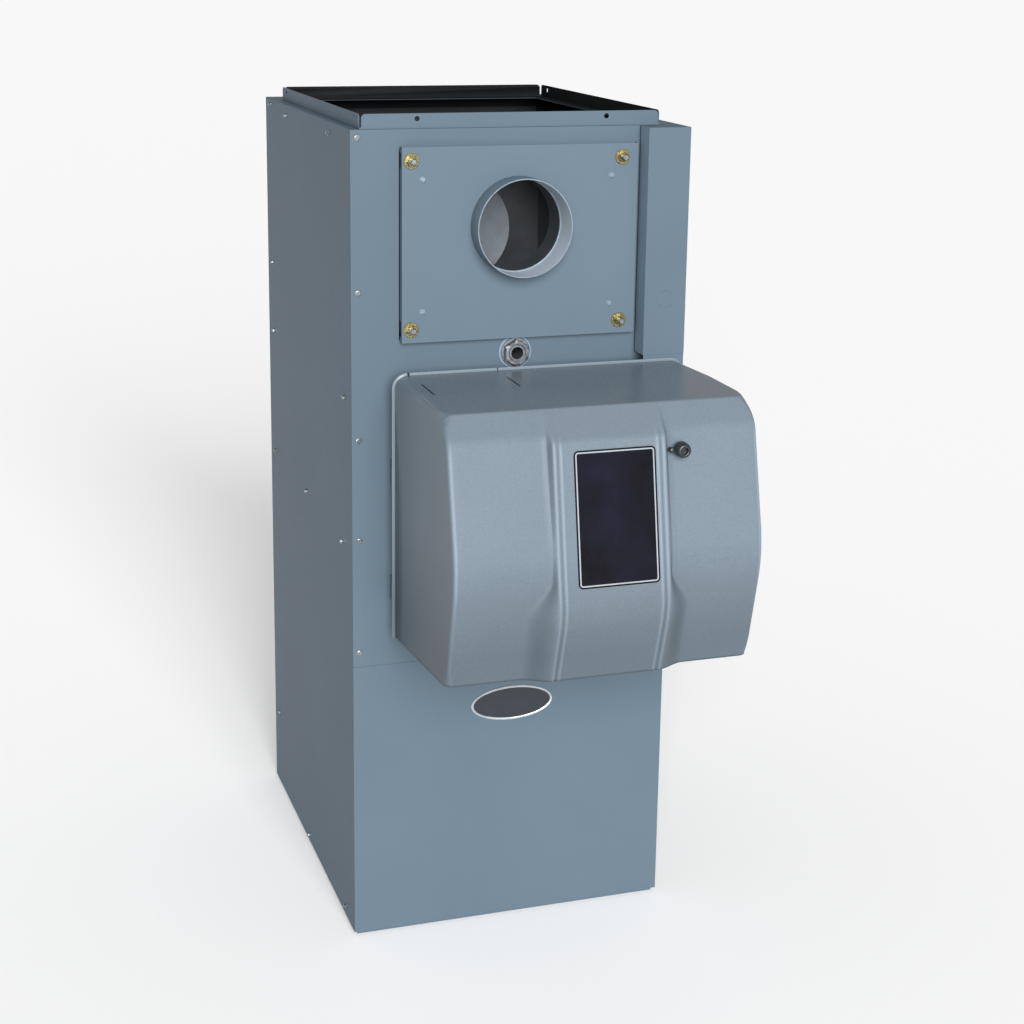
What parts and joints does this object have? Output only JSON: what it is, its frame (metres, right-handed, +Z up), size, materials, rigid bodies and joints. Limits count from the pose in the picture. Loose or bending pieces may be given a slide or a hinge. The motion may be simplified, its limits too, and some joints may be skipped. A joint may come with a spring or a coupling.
{
  "type": "oil furnace",
  "caption": "Upright oil-fired warm-air furnace: painted steel cabinet with a top supply flange, front flue collar, moulded pull-off burner cover and a blower bay below.",
  "frame": {"origin": "centre of the cabinet's footprint on the floor, under the base pan", "axes": "+Z up, +X to the right as seen from the front, +Y to the back; the burner cover faces -Y"},
  "size_m": [0.5406, 1.0261, 1.3438],
  "materials": {
    "cabinet_paint": "blue-grey satin baked paint on sheet steel",
    "galvanised_steel": "galvanised sheet steel",
    "insulation": "glass fibre blanket with a dark facing",
    "zinc_screw": "bright zinc plate",
    "brass_nut": "yellow brass",
    "flue_steel": "dark heat-stained steel",
    "aluminised_steel": "aluminised steel",
    "port_steel": "plain machined steel",
    "refractory": "moulded ceramic fibre",
    "burner_casting": "grey painted casting",
    "porcelain": "glazed porcelain",
    "motor_enamel": "black enamel",
    "pump_alloy": "die-cast alloy",
    "black_plastic": "moulded black plastic",
    "white_plastic": "moulded white plastic",
    "copper_tube": "drawn copper tube",
    "circuit_board": "green circuit board",
    "cover_plastic": "metallic grey moulded plastic, fine grain",
    "label_film": "plain black printed film with a pale border",
    "badge_enamel": "plain dark enamel with a bright metal rim",
    "red_button": "moulded red plastic"
  },
  "bodies": {
    "cabinet": {"base_pan": "cabinet_paint", "left_side_panel": "cabinet_paint", "right_side_panel": "cabinet_paint", "rear_panel": "cabinet_paint", "top_panel": "cabinet_paint", "upper_front_panel": "cabinet_paint", "supply_air_flange": "cabinet_paint", "blower_deck": "galvanised_steel", "casing_liner": "insulation", "casing_screws": "zinc_screw", "wiring_raceway": "cabinet_paint", "raceway_cover": "cabinet_paint", "cover_hanger_brackets": "cabinet_paint", "cover_stud": "zinc_screw", "flue_plate": "cabinet_paint", "flue_collar": "cabinet_paint", "flue_studs": "zinc_screw", "flue_nuts": "brass_nut", "flue_plate_screws": "zinc_screw", "flue_gasket": "insulation", "flue_baffle": "aluminised_steel", "observation_port_pipe": "port_steel", "observation_port_nut": "port_steel", "heat_exchanger_drum": "flue_steel", "radiator_box": "flue_steel", "combustion_chamber": "refractory", "heat_exchanger_legs": "galvanised_steel", "burner_flange": "burner_casting", "burner_flange_nuts": "zinc_screw", "burner_housing": "burner_casting", "blast_tube": "aluminised_steel", "retention_head": "aluminised_steel", "nozzle_assembly": "brass_nut", "electrodes": "porcelain", "burner_motor": "motor_enamel", "fuel_pump": "pump_alloy", "igniter_hinge_pin": "zinc_screw", "primary_control": "black_plastic", "oil_tube": "copper_tube", "blower_housing": "galvanised_steel", "blower_motor": "motor_enamel", "motor_mount": "galvanised_steel", "blower_rails": "galvanised_steel", "control_board": "circuit_board", "limit_switch": "black_plastic", "door_switch": "black_plastic"},
    "burner_cover": {"burner_cover": "cover_plastic", "cover_label_plate": "label_film"},
    "cover_knob": {"cover_knob": "black_plastic"},
    "blower_door": {"blower_door": "cabinet_paint", "badge_plate": "badge_enamel"},
    "blower_wheel": {"blower_wheel": "galvanised_steel", "blower_shaft": "port_steel"},
    "burner_fan": {"burner_fan": "galvanised_steel", "motor_shaft": "port_steel", "pump_coupling": "black_plastic"},
    "igniter": {"igniter": "black_plastic"},
    "reset_button": {"reset_button": "red_button"},
    "air_shutter": {"air_shutter": "pump_alloy"},
    "door_switch_plunger": {"door_switch_plunger": "white_plastic"}
  },
  "joints": [
    {"name": "cover_pull_off", "type": "slide", "parent": "cabinet", "child": "burner_cover", "axis": [0, -1, 0], "range_m": [0, 0.42]},
    {"name": "cover_knob_turn", "type": "hinge", "parent": "burner_cover", "child": "cover_knob", "pos_m": [0.13635, -0.66885, 0.89], "axis": [0, -1, 0], "continuous": true},
    {"name": "door_pull_off", "type": "slide", "parent": "cabinet", "child": "blower_door", "axis": [0, -1, 0], "range_m": [0, 0.3]},
    {"name": "blower_spin", "type": "hinge", "parent": "cabinet", "child": "blower_wheel", "pos_m": [0, 0.00615, 0.255], "axis": [1, 0, 0], "continuous": true},
    {"name": "burner_fan_spin", "type": "hinge", "parent": "cabinet", "child": "burner_fan", "pos_m": [0, -0.48885, 0.65], "axis": [1, 0, 0], "continuous": true},
    {"name": "igniter_swing", "type": "hinge", "parent": "cabinet", "child": "igniter", "pos_m": [0, -0.42785, 0.7995], "axis": [-1, 0, 0], "range_deg": [0, 75]},
    {"name": "reset_press", "type": "slide", "parent": "cabinet", "child": "reset_button", "axis": [0, 1, 0], "range_m": [0, 0.003], "stiffness_N_per_m": 400},
    {"name": "air_shutter_turn", "type": "hinge", "parent": "cabinet", "child": "air_shutter", "pos_m": [-0.056, -0.48885, 0.65], "axis": [1, 0, 0], "range_deg": [0, 45]},
    {"name": "door_switch_press", "type": "slide", "parent": "cabinet", "child": "door_switch_plunger", "axis": [0, 1, 0], "range_m": [0, 0.002], "stiffness_N_per_m": 300}
  ]
}
